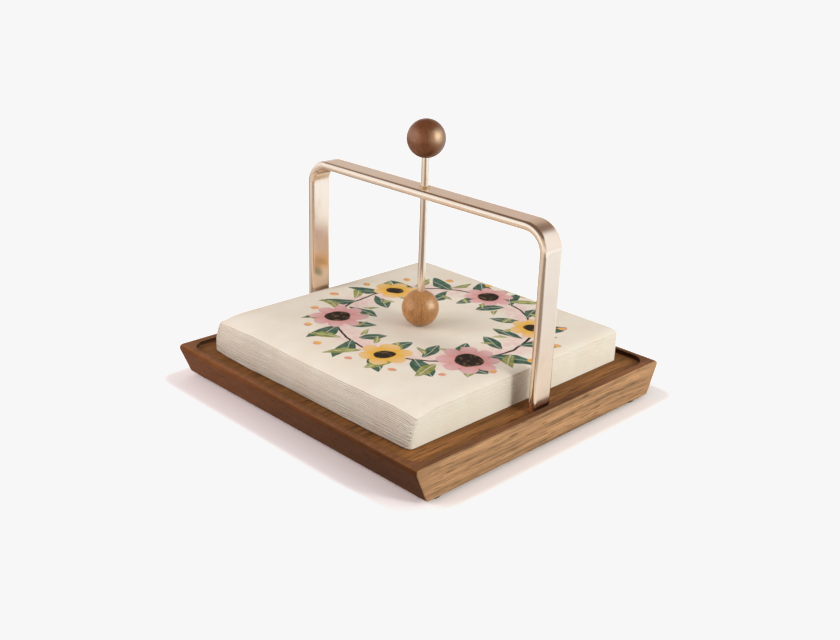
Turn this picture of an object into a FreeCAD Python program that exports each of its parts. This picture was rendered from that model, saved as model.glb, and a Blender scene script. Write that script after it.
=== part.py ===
import FreeCAD, Part
import math
import os
import Sketcher

# Countertop napkin holder: a square routed wood tray, a flat metal strap bent into an arch over it,
# and a rod that slides up and down through the arch with a wood ball on each end. The lower ball
# weighs down a pack of folded paper napkins.
# Millimetres. +Z is up and the origin is under the middle of the tray, where the feet stand.
# The arch spans X and the napkins are drawn out along -Y.

DIMENSIONS = [
    # tray
    ("tray_side", 200.0, "length and width of the tray over its top edges"),
    ("tray_thickness", 20.0, "thickness of the wood"),
    ("tray_inset", 7.8, "how far each sloping side draws in at the bottom"),
    ("tray_top_round", 2.2, "round-over along the top of the sloping sides"),
    ("tray_bottom_round", 3.0, "round-over along the bottom of the sloping sides"),
    ("tray_end_round", 0.9, "eased edge round the two upright end faces"),
    ("recess_side", 190.6, "length and width of the routed recess"),
    ("recess_depth", 2.8, "depth of the routed recess"),
    ("recess_corner", 10.0, "corner radius of the recess"),
    ("recess_cove", 1.2, "cove between the recess wall and its floor"),
    ("rim_round", 0.6, "eased inner edge of the rim"),
    # feet
    ("foot_height", 2.0, "height of the rubber feet"),
    ("foot_diameter", 15.0, "diameter of a foot where it meets the wood"),
    ("foot_sole", 14.2, "diameter of a foot at the bottom, before its round"),
    ("foot_round", 0.5, "rounded lower edge of a foot"),
    ("foot_x", 91.0, "centre of a foot from the middle, along X"),
    ("foot_front_y", 82.4, "centre of a front foot from the middle, along Y"),
    ("foot_rear_y", 80.0, "centre of a rear foot from the middle, along Y"),
    # arch
    ("arch_span", 188.0, "width of the arch over its legs"),
    ("arch_top", 121.9, "height of the arch above the table"),
    ("strap_width", 14.5, "width of the flat bar"),
    ("strap_thickness", 4.9, "thickness of the flat bar"),
    ("strap_bend", 10.6, "inside radius of the two bends"),
    ("strap_edge", 2.1, "rounded long edges of the flat bar"),
    ("mortise_depth", 8.0, "how deep each leg goes into the tray floor"),
    ("mortise_clearance", 0.1, "gap all round a leg in its mortise"),
    # leg screws
    ("screw_diameter", 3.0, "thread diameter of the leg screws"),
    ("screw_length", 12.0, "length of the leg screws under the head"),
    ("screw_head", 5.5, "head diameter of the leg screws"),
    ("screw_head_height", 2.0, "head height of the leg screws"),
    ("screw_socket", 2.0, "hexagon socket across flats"),
    ("screw_socket_depth", 1.2, "depth of the hexagon socket"),
    ("screw_gap", 0.1, "radial gap round a screw"),
    ("screw_hole_overrun", 1.0, "how far a screw hole runs past the end of its leg"),
    ("screw_point", 0.4, "chamfer on the point of a screw"),
    ("washer_diameter", 7.0, "outside diameter of the washers"),
    ("washer_thickness", 0.5, "thickness of the washers"),
    ("counterbore_diameter", 8.0, "counterbore under each leg"),
    ("counterbore_depth", 4.5, "depth of the counterbore"),
    # sliding rod and its guide sleeve
    ("rod_diameter", 4.4, "diameter of the sliding rod"),
    ("rod_clearance", 0.05, "radial running clearance of the rod in its sleeve"),
    ("rod_chamfer", 0.4, "chamfer on the ends of the rod"),
    ("sleeve_wall", 0.4, "wall of the guide sleeve"),
    ("sleeve_clearance", 0.05, "radial and end clearance of the sleeve in the arch"),
    ("collar_diameter", 6.3, "collar of the sleeve above the arch"),
    ("collar_height", 0.8, "height of the collar"),
    ("lip_diameter", 6.1, "lip that holds the sleeve from below"),
    ("lip_height", 0.5, "height of the lip"),
    # balls
    ("ball_diameter", 21.6, "diameter of both wood balls"),
    ("top_ball_height", 149.4, "centre of the top ball above the table, at rest"),
    ("ball_gap", 0.1, "gap between the bottom ball and the top napkin"),
    ("glue_depth", 10.5, "how deep the rod is glued into the bottom ball"),
    ("glue_gap", 0.02, "radial gap round the rod in the bottom ball"),
    ("glue_relief", 0.3, "empty depth past the rod in the bottom ball"),
    ("insert_diameter", 6.0, "outside diameter of the brass insert in the top ball"),
    ("insert_length", 9.0, "length of the brass insert"),
    ("insert_relief", 0.3, "empty depth past the insert in its hole"),
    ("insert_groove", 0.8, "width of the two grip grooves of the insert"),
    ("insert_groove_depth", 0.4, "depth of the grip grooves"),
    ("insert_groove_low", 0.3, "start of the lower groove, as a share of the insert's length"),
    ("insert_groove_high", 0.6, "start of the upper groove, as a share of the insert's length"),
    ("insert_flat", 7.0, "flat turned on the top ball round its insert"),
    ("thread_diameter", 3.9, "thread on the upper end of the rod"),
    ("thread_bore", 4.0, "threaded hole of the insert"),
    ("thread_length", 8.5, "length of the thread"),
    # napkins
    ("napkin_side", 165.0, "side of a folded napkin"),
    ("napkin_front_fan", 3.9, "how much further the open edges of the lowest napkins reach along -Y"),
    ("napkin_side_fan", 1.5, "how much further the open edges of the top napkins reach along -X"),
    ("napkin_thickness", 1.0, "thickness of a folded napkin under the weight"),
    ("napkin_corner", 1.5, "corner radius of a folded napkin"),
    ("napkin_fold", 0.42, "round of the folded edge"),
    ("napkin_fold_x", 80.0, "folded edge of the stack, along X"),
    ("napkin_rear_y", 84.3, "rear edge of the stack, along Y"),
    ("napkin_wander", 0.25, "how far single napkins lie off the stack"),
    ("napkin_play", 0.05, "gap under the top napkin, which is free to slide"),
]
NAPKIN_COUNT = 20

doc = FreeCAD.newDocument("napkin_holder")
dims = doc.addObject("Spreadsheet::Sheet", "dims")
for row, (alias, number, meaning) in enumerate(DIMENSIONS, start=1):
    dims.set(f"A{row}", meaning)
    dims.set(f"B{row}", str(number))
    dims.setAlias(f"B{row}", alias)
doc.recompute()

# Heights and radii that follow from the driving dimensions, as expressions of the sheet's cells
TRAY_BOTTOM = "dims.foot_height"
TRAY_TOP = "(dims.foot_height + dims.tray_thickness)"
RECESS_FLOOR = "(dims.foot_height + dims.tray_thickness - dims.recess_depth)"
LEG_END = f"({RECESS_FLOOR} - dims.mortise_depth)"
LEG_X = "(dims.arch_span / 2 - dims.strap_thickness / 2)"
ARCH_UNDERSIDE = "(dims.arch_top - dims.strap_thickness)"
COUNTERBORE_TOP = "(dims.foot_height + dims.counterbore_depth)"
WASHER_BOTTOM = f"({COUNTERBORE_TOP} - dims.washer_thickness)"
BALL_RADIUS = "(dims.ball_diameter / 2)"
STACK_TOP = f"({RECESS_FLOOR} + {NAPKIN_COUNT} * dims.napkin_thickness + dims.napkin_play)"
TRAY_SLOPE = "atan(dims.tray_inset / dims.tray_thickness)"
TRAY_CORNER = ("(dims.tray_side / 2 + dims.tray_top_round * "
               f"(1 / tan((90 deg - {TRAY_SLOPE}) / 2) - 1))")
BOTTOM_BALL = f"({STACK_TOP} + dims.ball_gap + {BALL_RADIUS})"
ROD_RADIUS = "(dims.rod_diameter / 2)"
SLEEVE_BORE = f"({ROD_RADIUS} + dims.rod_clearance)"
SLEEVE_RADIUS = f"({SLEEVE_BORE} + dims.sleeve_wall)"
INSERT_BOTTOM = f"(dims.top_ball_height - sqrt({BALL_RADIUS} ^ 2 - (dims.insert_flat / 2) ^ 2))"

TOLERANCE = 1e-4


def value(expression):
    """The number that an expression of the sheet's cells gives."""
    return float(dims.evalExpression(expression))


def close(a, b):
    return abs(a - b) < TOLERANCE


# ---------------------------------------------------------------- building blocks

def new_body(label):
    body = doc.addObject("PartDesign::Body", label)
    body.Label = label
    return body


def new_sketch(body, name, role, height="0"):
    """A sketch on one of the body's own origin planes, lifted along the plane's normal."""
    plane = [feature for feature in body.Origin.OriginFeatures if feature.Role == role][0]
    sketch = body.newObject("Sketcher::SketchObject", f"{body.Label}_{name}")
    sketch.AttachmentSupport = [(plane, "")]
    sketch.MapMode = "FlatFace"
    if height != "0":
        sketch.setExpression("AttachmentOffset.Base.z", height)
    return sketch


def bind(sketch, constraint, name, expression):
    index = sketch.addConstraint(constraint)
    sketch.renameConstraint(index, name)
    sketch.setExpression(f"Constraints.{name}", expression)


def pin_point(sketch, geometry, end, point, name):
    """Hold one end of a line or arc at a point given by two expressions."""
    for axis, expression in zip("XY", point):
        number = value(expression)
        if close(number, 0.0):
            axis_line = -2 if axis == "X" else -1
            sketch.addConstraint(Sketcher.Constraint("PointOnObject", geometry, end, axis_line))
        else:
            constraint = Sketcher.Constraint(f"Distance{axis}", -1, 1, geometry, end, number)
            bind(sketch, constraint, f"{name}_{axis.lower()}", expression)


def arc_between(start, end, centre):
    """The shorter arc between two points; a half circle runs anticlockwise from the start."""
    def angle(point):
        return math.atan2(point.y - centre.y, point.x - centre.x)
    if (start - centre).cross(end - centre).z < -TOLERANCE:
        start, end = end, start
    first, last = angle(start), angle(end)
    if last < first:
        last += 2 * math.pi
    whole = Part.Circle(centre, FreeCAD.Vector(0, 0, 1), (start - centre).Length)
    return Part.ArcOfCircle(whole, first, last)


def outline(sketch, points, arcs=None, prefix="p"):
    """A closed outline through points; arcs maps a point's number to the centre and radius of the
    arc that leaves it."""
    arcs = arcs or {}
    places = [FreeCAD.Vector(value(x), value(y), 0) for x, y in points]
    first = sketch.GeometryCount
    count = len(points)
    tips = []
    for number, start in enumerate(places):
        end = places[(number + 1) % count]
        if number in arcs:
            centre = FreeCAD.Vector(value(arcs[number][0]), value(arcs[number][1]), 0)
            curve = arc_between(start, end, centre)
        else:
            curve = Part.LineSegment(start, end)
        sketch.addGeometry(curve)
        forwards = curve.StartPoint.distanceToPoint(start) < TOLERANCE
        tips.append((1, 2) if forwards else (2, 1))
    for number in range(count):
        after = (number + 1) % count
        sketch.addConstraint(Sketcher.Constraint(
            "Coincident", first + number, tips[number][1], first + after, tips[after][0]))
        pin_point(sketch, first + number, tips[number][0], points[number], f"{prefix}{number}")
        if number in arcs:
            radius = arcs[number][2]
            constraint = Sketcher.Constraint("Radius", first + number, value(radius))
            bind(sketch, constraint, f"{prefix}{number}_radius", radius)


def rounded_rectangle(sketch, centre, size, radius, prefix="p"):
    """A rectangle with round corners, its centre, size and corner radius given as expressions."""
    (middle_x, middle_y), (length, width) = centre, size
    low_x, high_x = f"{middle_x} - ({length}) / 2", f"{middle_x} + ({length}) / 2"
    low_y, high_y = f"{middle_y} - ({width}) / 2", f"{middle_y} + ({width}) / 2"
    points = [
        (f"{low_x} + {radius}", low_y), (f"{high_x} - {radius}", low_y),
        (high_x, f"{low_y} + {radius}"), (high_x, f"{high_y} - {radius}"),
        (f"{high_x} - {radius}", high_y), (f"{low_x} + {radius}", high_y),
        (low_x, f"{high_y} - {radius}"), (low_x, f"{low_y} + {radius}"),
    ]
    arcs = {
        1: (f"{high_x} - {radius}", f"{low_y} + {radius}", radius),
        3: (f"{high_x} - {radius}", f"{high_y} - {radius}", radius),
        5: (f"{low_x} + {radius}", f"{high_y} - {radius}", radius),
        7: (f"{low_x} + {radius}", f"{low_y} + {radius}", radius),
    }
    outline(sketch, points, arcs, prefix)


def circle(sketch, centre, radius, name):
    place = FreeCAD.Vector(value(centre[0]), value(centre[1]), 0)
    index = sketch.addGeometry(Part.Circle(place, FreeCAD.Vector(0, 0, 1), value(radius)))
    pin_point(sketch, index, 3, centre, name)
    bind(sketch, Sketcher.Constraint("Radius", index, value(radius)), f"{name}_radius", radius)


def pad(body, sketch, length, symmetric=False):
    feature = body.newObject("PartDesign::Pad", f"{sketch.Name}_pad")
    feature.Profile = sketch
    feature.setExpression("Length", length)
    if symmetric:
        feature.SideType = "Symmetric"
    doc.recompute()
    return feature


def pocket(body, sketch, depth, upwards=False):
    """Cut a sketch down into the body, or upwards from below; the volume has to fall."""
    before = body.Shape.Volume
    feature = body.newObject("PartDesign::Pocket", f"{sketch.Name}_pocket")
    feature.Profile = sketch
    feature.setExpression("Length", depth)
    feature.Reversed = upwards
    doc.recompute()
    if not body.Shape.Volume < before - TOLERANCE:
        raise RuntimeError(f"{feature.Name} cuts nothing")
    return feature


def fillet(body, radius, chosen):
    """Round the edges of the body's tip that the test picks out."""
    tip = body.Tip
    names = [f"Edge{n}" for n, edge in enumerate(tip.Shape.Edges, start=1) if chosen(edge)]
    if not names:
        raise RuntimeError(f"no edge to round on {body.Label}")
    feature = body.newObject("PartDesign::Fillet", f"{tip.Name}_round")
    feature.Base = (tip, names)
    feature.setExpression("Radius", radius)
    doc.recompute()
    return feature


def turned(label, points, arcs=None):
    """A round piece: a half section of (radius, height) points turned about the Z axis."""
    body = new_body(label)
    sketch = new_sketch(body, "section", "XZ_Plane")
    outline(sketch, points, arcs)
    feature = body.newObject("PartDesign::Revolution", f"{label}_turn")
    feature.Profile = sketch
    feature.ReferenceAxis = (sketch, ["V_Axis"])
    feature.Angle = 360
    doc.recompute()
    return body


def place(body, x="0", y="0", z="0"):
    for axis, expression in (("x", x), ("y", y), ("z", z)):
        if expression != "0":
            body.setExpression(f"Placement.Base.{axis}", expression)


def ends(edge):
    return [vertex.Point for vertex in edge.Vertexes]


def lies_at(edge, axis, number):
    """True where the whole edge is at one coordinate."""
    low, high = getattr(edge.BoundBox, f"{axis}Min"), getattr(edge.BoundBox, f"{axis}Max")
    return close(low, number) and close(high, number)


def runs_along(edge, axis):
    box = edge.BoundBox
    spans = {"X": box.XLength, "Y": box.YLength, "Z": box.ZLength}
    return spans[axis] > TOLERANCE and all(
        span < TOLERANCE for name, span in spans.items() if name != axis)


# ---------------------------------------------------------------- tray

def make_tray():
    """Square wood tray: two sides slope in towards the bottom, the two ends are upright."""
    tray = new_body("tray")
    half_bottom = "dims.tray_side / 2 - dims.tray_inset"
    blank = new_sketch(tray, "blank", "YZ_Plane")
    outline(blank, [
        (f"-({half_bottom})", TRAY_BOTTOM), (half_bottom, TRAY_BOTTOM),
        (TRAY_CORNER, TRAY_TOP), (f"-{TRAY_CORNER}", TRAY_TOP)])
    pad(tray, blank, "dims.tray_side", symmetric=True)

    top, bottom, side = value(TRAY_TOP), value(TRAY_BOTTOM), value("dims.tray_side / 2")
    fillet(tray, "dims.tray_top_round", lambda e: runs_along(e, "X") and lies_at(e, "Z", top))
    fillet(tray, "dims.tray_bottom_round",
           lambda e: runs_along(e, "X") and lies_at(e, "Z", bottom))
    fillet(tray, "dims.tray_end_round", lambda e: lies_at(e, "X", side) or lies_at(e, "X", -side))

    recess = new_sketch(tray, "recess", "XY_Plane", TRAY_TOP)
    rounded_rectangle(recess, ("0", "0"), ("dims.recess_side", "dims.recess_side"),
                      "dims.recess_corner")
    pocket(tray, recess, "dims.recess_depth")
    floor, wall = value(RECESS_FLOOR), value("dims.recess_side / 2") + TOLERANCE
    fillet(tray, "dims.recess_cove", lambda e: lies_at(e, "Z", floor))
    fillet(tray, "dims.rim_round", lambda e: lies_at(e, "Z", top) and max(
        abs(number) for point in ends(e) for number in (point.x, point.y)) < wall)

    mortises = new_sketch(tray, "mortises", "XY_Plane", RECESS_FLOOR)
    length = "dims.strap_thickness + 2 * dims.mortise_clearance"
    width = "dims.strap_width + 2 * dims.mortise_clearance"
    for sign, name in ((1, "right"), (-1, "left")):
        rounded_rectangle(mortises, (f"{sign} * {LEG_X}", "0"), (length, width),
                          "dims.strap_edge", name)
    pocket(tray, mortises, "dims.mortise_depth")

    screw_holes = new_sketch(tray, "screw_holes", "XY_Plane", TRAY_BOTTOM)
    counterbores = new_sketch(tray, "counterbores", "XY_Plane", TRAY_BOTTOM)
    for sign, name in ((1, "right"), (-1, "left")):
        centre = (f"{sign} * {LEG_X}", "0")
        circle(screw_holes, centre, "dims.screw_diameter / 2 + dims.screw_gap", name)
        circle(counterbores, centre, "dims.counterbore_diameter / 2", name)
    pocket(tray, screw_holes, f"{LEG_END} - {TRAY_BOTTOM} + dims.screw_hole_overrun", upwards=True)
    pocket(tray, counterbores, "dims.counterbore_depth", upwards=True)
    return tray


def make_feet():
    """Four round rubber feet, one under each corner."""
    sole = "dims.foot_sole / 2"
    feet = []
    front, rear = "-dims.foot_front_y", "dims.foot_rear_y"
    for label, sign, centre_y in (("foot_front_right", 1, front), ("foot_front_left", -1, front),
                                  ("foot_rear_right", 1, rear), ("foot_rear_left", -1, rear)):
        foot = turned(label, [
            ("0", "0"), (f"{sole} - dims.foot_round", "0"), (sole, "dims.foot_round"),
            ("dims.foot_diameter / 2", "dims.foot_height"), ("0", "dims.foot_height")],
            {1: (f"{sole} - dims.foot_round", "dims.foot_round", "dims.foot_round")})
        place(foot, f"{sign} * dims.foot_x", centre_y)
        feet.append(foot)
    return feet


# ---------------------------------------------------------------- arch and its screws

def make_arch():
    """A flat bar bent twice, with a hole for the guide sleeve and a tapped hole up each leg."""
    arch = new_body("arch")
    half = "dims.arch_span / 2"
    outer = "(dims.strap_bend + dims.strap_thickness)"
    inner_x = f"{half} - dims.strap_thickness"
    bend_z = f"dims.arch_top - {outer}"
    bend_x = f"{half} - {outer}"
    side = new_sketch(arch, "side", "XZ_Plane")
    outline(side, [
        (f"-({half})", LEG_END), (f"-({half})", bend_z),
        (f"-({bend_x})", "dims.arch_top"), (bend_x, "dims.arch_top"),
        (half, bend_z), (half, LEG_END),
        (inner_x, LEG_END), (inner_x, bend_z),
        (bend_x, ARCH_UNDERSIDE), (f"-({bend_x})", ARCH_UNDERSIDE),
        (f"-({inner_x})", bend_z), (f"-({inner_x})", LEG_END)],
        {1: (f"-({bend_x})", bend_z, outer), 3: (bend_x, bend_z, outer),
         7: (bend_x, bend_z, "dims.strap_bend"), 9: (f"-({bend_x})", bend_z, "dims.strap_bend")})
    pad(arch, side, "dims.strap_width", symmetric=True)

    edge_y, leg_end = value("dims.strap_width / 2"), value(LEG_END)
    fillet(arch, "dims.strap_edge", lambda e: not lies_at(e, "Z", leg_end) and (
        lies_at(e, "Y", edge_y) or lies_at(e, "Y", -edge_y)))

    guide = new_sketch(arch, "guide_hole", "XY_Plane", "dims.arch_top")
    circle(guide, ("0", "0"), f"{SLEEVE_RADIUS} + dims.sleeve_clearance", "guide")
    pocket(arch, guide, "dims.strap_thickness")

    taps = new_sketch(arch, "tapped_holes", "XY_Plane", LEG_END)
    for sign, name in ((1, "right"), (-1, "left")):
        circle(taps, (f"{sign} * {LEG_X}", "0"), "dims.screw_diameter / 2 + dims.screw_gap / 2",
               name)
    pocket(arch, taps, "dims.screw_length", upwards=True)
    return arch


def make_leg_fixings():
    """The screw and the washer that hold each leg from below."""
    shank, head = "dims.screw_diameter / 2", "dims.screw_head / 2"
    head_bottom = f"{WASHER_BOTTOM} - dims.screw_head_height"
    pieces = []
    for label, sign in (("right", 1), ("left", -1)):
        screw = turned(f"leg_screw_{label}", [
            ("0", head_bottom), (head, head_bottom), (head, WASHER_BOTTOM),
            (shank, WASHER_BOTTOM), (shank, f"{WASHER_BOTTOM} + dims.screw_length - dims.screw_point"),
            (f"{shank} - dims.screw_point", f"{WASHER_BOTTOM} + dims.screw_length"),
            ("0", f"{WASHER_BOTTOM} + dims.screw_length")])
        socket = new_sketch(screw, "socket", "XY_Plane", head_bottom)
        corner = "dims.screw_socket / sqrt(3)"
        outline(socket, [(f"{corner} * cos({60 * k} deg)", f"{corner} * sin({60 * k} deg)")
                         for k in range(6)])
        pocket(screw, socket, "dims.screw_socket_depth", upwards=True)
        washer = turned(f"leg_washer_{label}", [
            (f"{shank} + dims.screw_gap", WASHER_BOTTOM),
            ("dims.washer_diameter / 2", WASHER_BOTTOM),
            ("dims.washer_diameter / 2", COUNTERBORE_TOP),
            (f"{shank} + dims.screw_gap", COUNTERBORE_TOP)])
        for piece in (screw, washer):
            place(piece, f"{sign} * {LEG_X}")
            pieces.append(piece)
    return pieces


# ---------------------------------------------------------------- guide sleeve, rod and balls

def make_guide_sleeve():
    """Flanged sleeve in the middle of the arch, held by its collar above and its lip below."""
    collar_bottom = "dims.arch_top + dims.sleeve_clearance"
    collar_top = f"{collar_bottom} + dims.collar_height"
    lip_top = f"{ARCH_UNDERSIDE} - dims.sleeve_clearance"
    lip_bottom = f"{lip_top} - dims.lip_height"
    collar = "dims.collar_diameter / 2"
    ease = "dims.collar_height / 2"
    return turned("guide_sleeve", [
        (SLEEVE_BORE, lip_bottom), ("dims.lip_diameter / 2", lip_bottom),
        ("dims.lip_diameter / 2", lip_top), (SLEEVE_RADIUS, lip_top),
        (SLEEVE_RADIUS, collar_bottom), (collar, collar_bottom),
        (collar, f"{collar_top} - {ease}"), (f"{collar} - {ease}", collar_top),
        (SLEEVE_BORE, collar_top)],
        {6: (f"{collar} - {ease}", f"{collar_top} - {ease}", ease)})


def make_rod():
    """Plain rod: glued into the bottom ball, threaded where it enters the top one."""
    bottom = f"{BOTTOM_BALL} + {BALL_RADIUS} - dims.glue_depth"
    thread_top = f"{INSERT_BOTTOM} + dims.thread_length"
    thread = "dims.thread_diameter / 2"
    return turned("rod", [
        ("0", bottom), (f"{ROD_RADIUS} - dims.rod_chamfer", bottom),
        (ROD_RADIUS, f"{bottom} + dims.rod_chamfer"), (ROD_RADIUS, INSERT_BOTTOM),
        (thread, INSERT_BOTTOM), (thread, f"{thread_top} - dims.rod_chamfer"),
        (f"{thread} - dims.rod_chamfer", thread_top), ("0", thread_top)])


def make_bottom_ball():
    """The weight: a ball with a blind hole for the rod."""
    bore = f"({ROD_RADIUS} + dims.glue_gap)"
    mouth = f"{BOTTOM_BALL} + sqrt({BALL_RADIUS} ^ 2 - {bore} ^ 2)"
    bore_bottom = f"{BOTTOM_BALL} + {BALL_RADIUS} - dims.glue_depth - dims.glue_relief"
    return turned("bottom_ball", [
        ("0", f"{BOTTOM_BALL} - {BALL_RADIUS}"), (bore, mouth),
        (bore, bore_bottom), ("0", bore_bottom)],
        {0: ("0", BOTTOM_BALL, BALL_RADIUS)})


def make_top_ball():
    """The knob: a ball with a turned flat and a blind hole for its threaded insert."""
    bore, flat = "dims.insert_diameter / 2", "dims.insert_flat / 2"
    bore_top = f"{INSERT_BOTTOM} + dims.insert_length + dims.insert_relief"
    return turned("top_ball", [
        ("0", bore_top), (bore, bore_top), (bore, INSERT_BOTTOM), (flat, INSERT_BOTTOM),
        ("0", f"dims.top_ball_height + {BALL_RADIUS}")],
        {3: ("0", "dims.top_ball_height", BALL_RADIUS)})


def make_ball_insert():
    """Threaded brass insert with two grip grooves, pressed into the top ball."""
    outer, bore = "dims.insert_diameter / 2", "dims.thread_bore / 2"
    grooved = f"{outer} - dims.insert_groove_depth"
    points = [(bore, INSERT_BOTTOM), (outer, INSERT_BOTTOM)]
    for share in ("dims.insert_groove_low", "dims.insert_groove_high"):
        groove = f"{INSERT_BOTTOM} + {share} * dims.insert_length"
        points += [(outer, groove), (grooved, groove),
                   (grooved, f"{groove} + dims.insert_groove"),
                   (outer, f"{groove} + dims.insert_groove")]
    top = f"{INSERT_BOTTOM} + dims.insert_length"
    return turned("top_ball_insert", points + [(outer, top), (bore, top)])


# ---------------------------------------------------------------- napkins

def make_napkins():
    """Folded paper napkins, each with a rounded fold on its +X edge, stacked in the recess.
    They lie a little off each other. Their open edges fan out, along -Y at the bottom of the stack
    and along -X at the top."""
    napkins = []
    for number in range(NAPKIN_COUNT):
        is_top = number == NAPKIN_COUNT - 1
        label = "napkin_top" if is_top else f"napkin_{number + 1:02d}"
        rise = number / (NAPKIN_COUNT - 1)
        width = f"(dims.napkin_side + dims.napkin_side_fan * {round(rise, 3)})"
        length = f"(dims.napkin_side + dims.napkin_front_fan * {round(1 - rise ** 3, 3)})"
        napkin = new_body(label)
        sheet = new_sketch(napkin, "sheet", "XY_Plane")
        rounded_rectangle(sheet, ("0", "0"), (width, length), "dims.napkin_corner")
        pad(napkin, sheet, "dims.napkin_thickness")
        fold = value(f"{width} / 2")
        fillet(napkin, "dims.napkin_fold", lambda e: runs_along(e, "Y") and lies_at(e, "X", fold))
        height = f"{RECESS_FLOOR} + {number} * dims.napkin_thickness"
        if is_top:
            height += " + dims.napkin_play"
        wander = round(math.sin(2.4 * number), 3)
        sway = round(math.cos(1.7 * number), 3)
        place(napkin, f"dims.napkin_fold_x - {width} / 2 + dims.napkin_wander * {wander}",
              f"dims.napkin_rear_y - {length} / 2 + dims.napkin_wander * {sway}", height)
        napkins.append(napkin)
    return napkins


# ---------------------------------------------------------------- assembly and files

parts = [make_tray(), *make_feet(), make_arch(), *make_leg_fixings(), make_guide_sleeve(),
         make_rod(), make_bottom_ball(), make_top_ball(), make_ball_insert(), *make_napkins()]
doc.recompute()

for item in doc.Objects:
    if "Invalid" in item.State or "Error" in item.State:
        raise RuntimeError(f"{item.Name} did not compute: {item.State}")
for part in parts:
    shape = part.Shape
    if shape.isNull() or not shape.isValid() or len(shape.Solids) != 1:
        raise RuntimeError(f"{part.Label} is not one valid solid")

os.makedirs("parts", exist_ok=True)
for part in parts:
    part.Shape.exportStep(f"parts/{part.Label}.step")
    box = part.Shape.BoundBox
    print(f"{part.Label:18s} volume {part.Shape.Volume:10.1f}  "
          f"x {box.XMin:8.2f} {box.XMax:8.2f}  y {box.YMin:8.2f} {box.YMax:8.2f}  "
          f"z {box.ZMin:8.2f} {box.ZMax:8.2f}")
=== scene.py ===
import math
import random

import bpy
from bpy.props import FloatProperty, FloatVectorProperty, PointerProperty
from mathutils import Matrix, Vector


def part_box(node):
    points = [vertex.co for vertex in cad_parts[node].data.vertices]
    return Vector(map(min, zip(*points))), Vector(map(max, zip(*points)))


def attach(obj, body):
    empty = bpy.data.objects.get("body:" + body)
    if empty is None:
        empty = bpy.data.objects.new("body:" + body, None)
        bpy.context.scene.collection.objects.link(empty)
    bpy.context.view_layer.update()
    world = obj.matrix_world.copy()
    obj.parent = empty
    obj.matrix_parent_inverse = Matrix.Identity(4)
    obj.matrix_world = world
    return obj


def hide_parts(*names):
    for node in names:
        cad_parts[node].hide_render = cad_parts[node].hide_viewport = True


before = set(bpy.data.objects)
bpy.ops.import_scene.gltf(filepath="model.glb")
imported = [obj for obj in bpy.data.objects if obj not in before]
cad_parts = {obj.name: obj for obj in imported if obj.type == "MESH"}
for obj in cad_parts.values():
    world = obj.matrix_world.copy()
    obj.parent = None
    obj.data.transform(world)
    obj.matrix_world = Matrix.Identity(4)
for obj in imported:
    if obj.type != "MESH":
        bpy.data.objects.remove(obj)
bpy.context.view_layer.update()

bl_info = {
    "name": "Napkin Holder Finishes",
    "version": (1, 0, 0),
    "blender": (4, 5, 0),
    "location": "3D View > Sidebar > Napkin Holder",
    "description": "Wood, metal and folded paper of a napkin holder with a sliding weight",
    "category": "Object",
}

MM = 0.001
NAPKIN_COUNT = 20


# ---- settings a user would change

def colour(name, description, default):
    """A colour that a user can change."""
    return FloatVectorProperty(name=name, description=description, default=default,
                               subtype="COLOR", size=3, min=0.0, max=1.0)


def length(name, description, default):
    """A length in metres that a user can change."""
    return FloatProperty(name=name, description=description, default=default, min=0.0,
                         precision=5, unit="LENGTH", subtype="DISTANCE")


def share(name, description, default):
    """A share from 0 to 1 that a user can change."""
    return FloatProperty(name=name, description=description, default=default,
                         min=0.0, max=1.0, subtype="FACTOR")


def brightness(name, description, default):
    """A brightness or power that a user can change."""
    return FloatProperty(name=name, description=description, default=default, min=0.0)


def angle(name, description, default):
    """An angle that a user can change, its default given in degrees."""
    return FloatProperty(name=name, description=description, default=math.radians(default),
                         subtype="ANGLE", unit="ROTATION")


class TrayFinish(bpy.types.PropertyGroup):
    """Stain and grain of the wood tray."""
    top: colour("Top", "Wood of the rim's flat top", (0.182, 0.076, 0.034))
    floor: colour("Recess floor", "Wood of the routed recess", (0.220, 0.095, 0.032))
    # The upright sides are kept much paler than the top, partly as painted light.
    side: colour("Long sides", "Wood of the two upright sides, cut along the grain",
                 (0.420, 0.232, 0.120))
    end: colour("End grain", "Wood of the two sloping ends, where the stain soaks in",
                (0.090, 0.031, 0.010))
    dark: share("Dark bands", "How much darker the late wood is", 0.50)
    band: length("Band width", "Distance between the dark bands of the grain", 0.007)
    pore: length("Pore width", "Width of the open pores", 0.0007)
    gloss: share("Roughness", "Roughness of the satin lacquer", 0.34)


class MetalFinish(bpy.types.PropertyGroup):
    """Plating of the arch, the rod and the small metal pieces."""
    arch: colour("Arch", "Champagne plating of the flat bar", (0.985, 0.785, 0.625))
    rod: colour("Rod", "Plating of the sliding rod", (0.975, 0.800, 0.640))
    brass: colour("Brass", "Turned brass of the guide sleeve and the insert", (0.80, 0.60, 0.34))
    steel: colour("Steel", "Zinc plate of the screws and washers", (0.60, 0.60, 0.61))
    satin: share("Satin", "Roughness of the bar's satin finish", 0.17)
    polish: share("Polish", "Roughness of the polished rod", 0.06)


class BallFinish(bpy.types.PropertyGroup):
    """Wood of the two turned balls."""
    knob: colour("Knob", "Dark wood of the upper ball", (0.118, 0.031, 0.009))
    weight: colour("Weight", "Caramel wood of the lower ball", (0.335, 0.165, 0.066))
    band: length("Band width", "Distance between the bands of the grain", 0.0035)
    gloss: share("Roughness", "Roughness of the satin lacquer on the balls", 0.31)


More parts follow.
